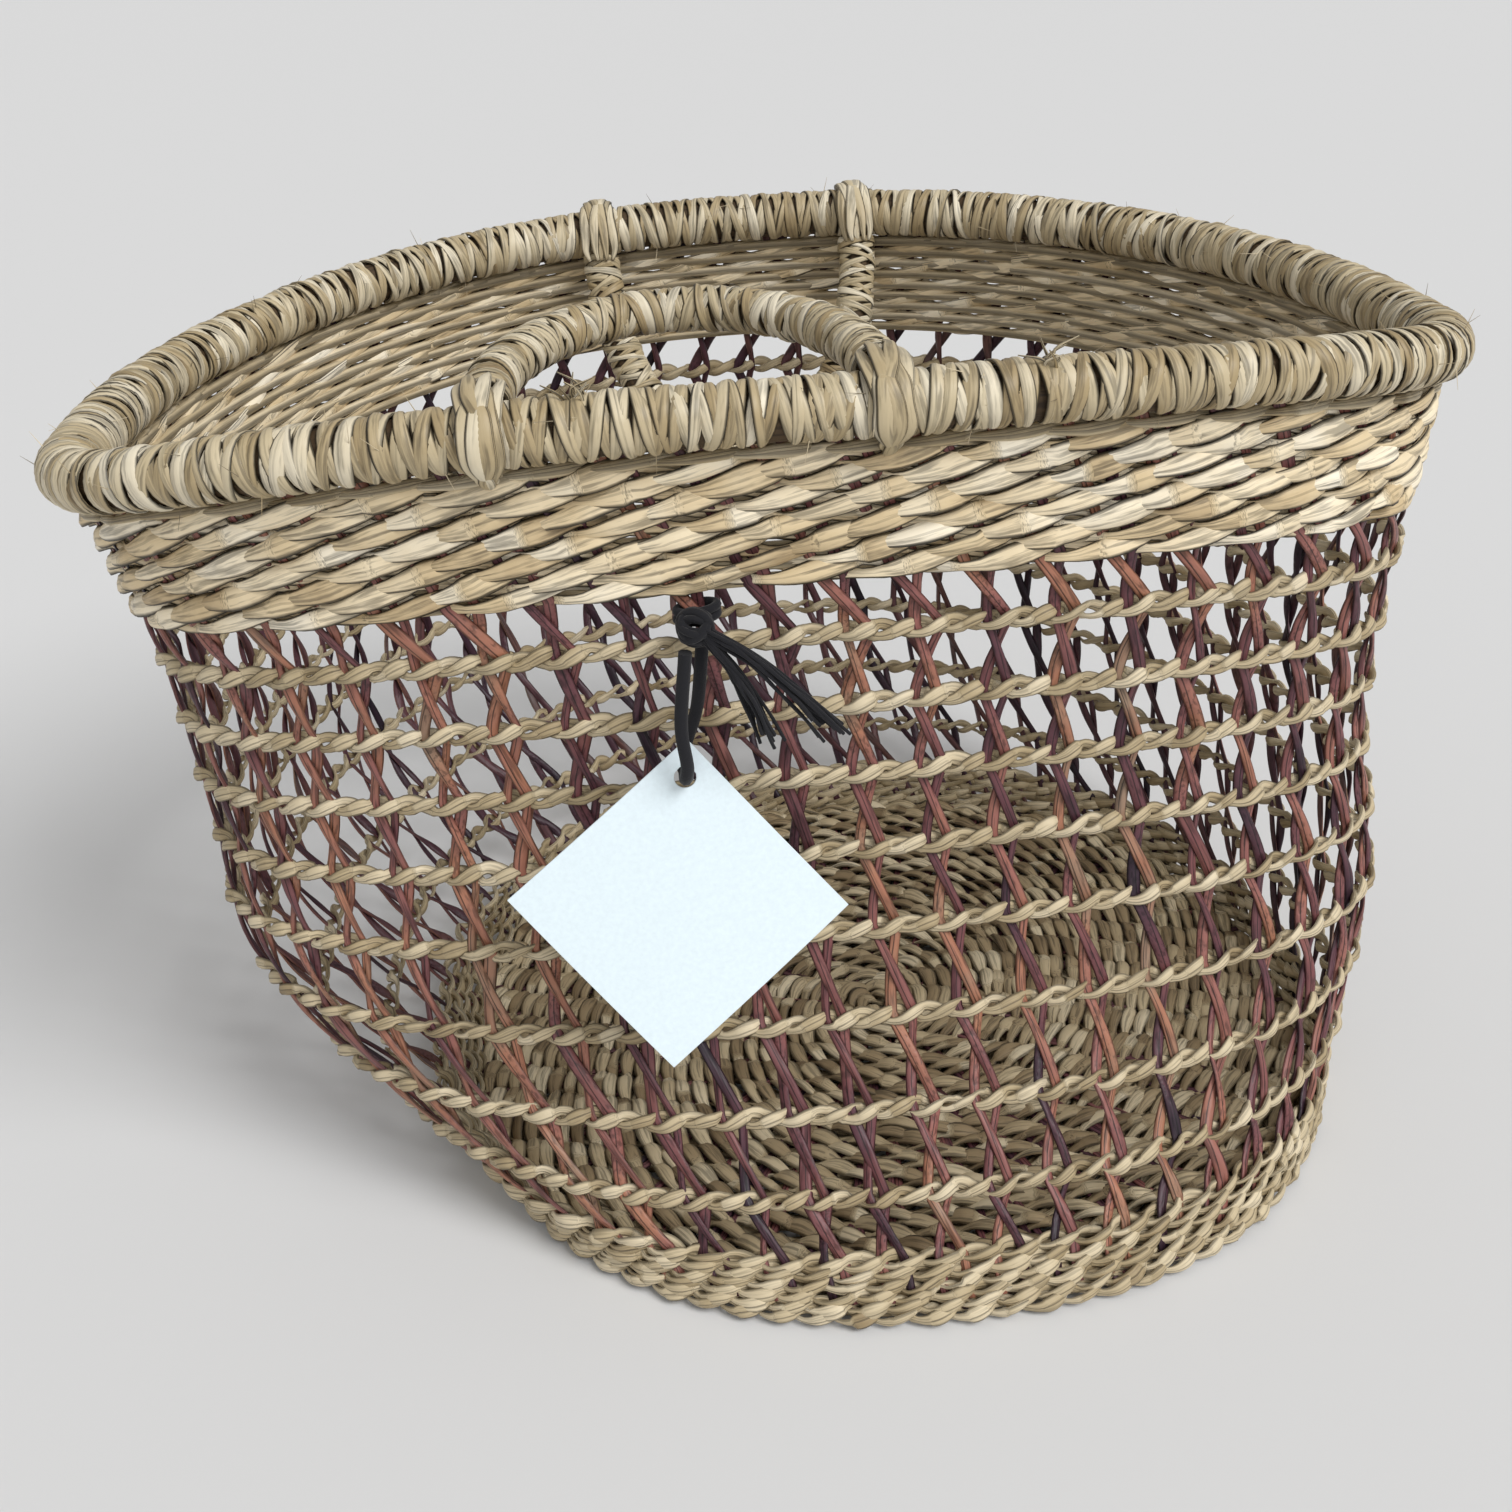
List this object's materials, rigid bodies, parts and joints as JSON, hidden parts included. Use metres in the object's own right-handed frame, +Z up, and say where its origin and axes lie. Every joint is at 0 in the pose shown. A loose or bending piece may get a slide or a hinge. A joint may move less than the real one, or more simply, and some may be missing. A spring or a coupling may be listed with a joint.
{
  "type": "bulb basket",
  "caption": "Oval open-work basket of twined seagrass and rush stakes with a wrapped rim, two swing handles lashed to the rim and a blank hang tag on a string.",
  "frame": {"origin": "centre of the base's flat underside, which rests on the floor", "axes": "+X along the basket from foot to foot of the handles, -Y towards the side with the tag, +Z up"},
  "size_m": [0.3501, 0.3202, 0.2318],
  "materials": {
    "seagrass": "matte dried seagrass, tan",
    "pale_seagrass": "matte dried seagrass, pale straw",
    "rush": "satin dyed rush, maroon to orange-brown",
    "cane": "plain cane, hidden under the wrap",
    "cardboard": "blank white coated card",
    "cotton": "black cotton string"
  },
  "bodies": {
    "basket": {"base_weave_under": "seagrass", "base_weave_upper": "seagrass", "base_edge_row_1": "pale_seagrass", "base_edge_row_2": "pale_seagrass", "base_edge_row_3": "pale_seagrass", "base_edge_lining": "seagrass", "stake_fan_1": "rush", "stake_fan_2": "rush", "stake_fan_3": "rush", "stake_fan_4": "rush", "stake_fan_5": "rush", "stake_fan_6": "rush", "stake_fan_7": "rush", "stake_fan_8": "rush", "open_row_1_outer": "pale_seagrass", "open_row_1_inner": "pale_seagrass", "open_row_2_outer": "pale_seagrass", "open_row_2_inner": "pale_seagrass", "open_row_3_outer": "pale_seagrass", "open_row_3_inner": "pale_seagrass", "open_row_4_outer": "pale_seagrass", "open_row_4_inner": "pale_seagrass", "open_row_5_outer": "pale_seagrass", "open_row_5_inner": "pale_seagrass", "open_row_6_outer": "pale_seagrass", "open_row_6_inner": "pale_seagrass", "open_row_7_outer": "pale_seagrass", "open_row_7_inner": "pale_seagrass", "open_row_8_outer": "pale_seagrass", "open_row_8_inner": "pale_seagrass", "band_row_1": "seagrass", "band_row_2": "seagrass", "band_row_3": "seagrass", "band_row_4": "seagrass", "band_row_5": "seagrass", "band_row_6": "seagrass", "band_row_7": "seagrass", "band_row_8": "seagrass", "band_lining": "seagrass", "rim_core": "cane", "rim_wrap": "pale_seagrass", "tag_loop": "cotton"},
    "handle_front": {"handle_front_core": "cane", "handle_front_wrap": "pale_seagrass", "handle_front_strap_left": "seagrass", "handle_front_strap_right": "seagrass"},
    "handle_back": {"handle_back_core": "cane", "handle_back_wrap": "pale_seagrass", "handle_back_strap_left": "seagrass", "handle_back_strap_right": "seagrass"},
    "tag": {"tag_knot": "cotton", "tag_string": "cotton", "tag_card": "cardboard"}
  },
  "joints": [
    {"name": "handle_front_swing", "type": "hinge", "parent": "basket", "child": "handle_front", "pos_m": [-0.05555, -0.07718, 0.21948], "axis": [0.9994, -0.018, 0.029], "range_deg": [-48, 180]},
    {"name": "handle_back_swing", "type": "hinge", "parent": "basket", "child": "handle_back", "pos_m": [-0.02714, 0.15732, 0.21028], "axis": [-0.9992, 0.027, -0.028], "range_deg": [0, 240]},
    {"name": "tag_swing", "type": "hinge", "parent": "basket", "child": "tag", "pos_m": [-0.05603, -0.07995, 0.17339], "axis": [-0.9999, 0.011, 0], "range_deg": [0, 60]}
  ]
}
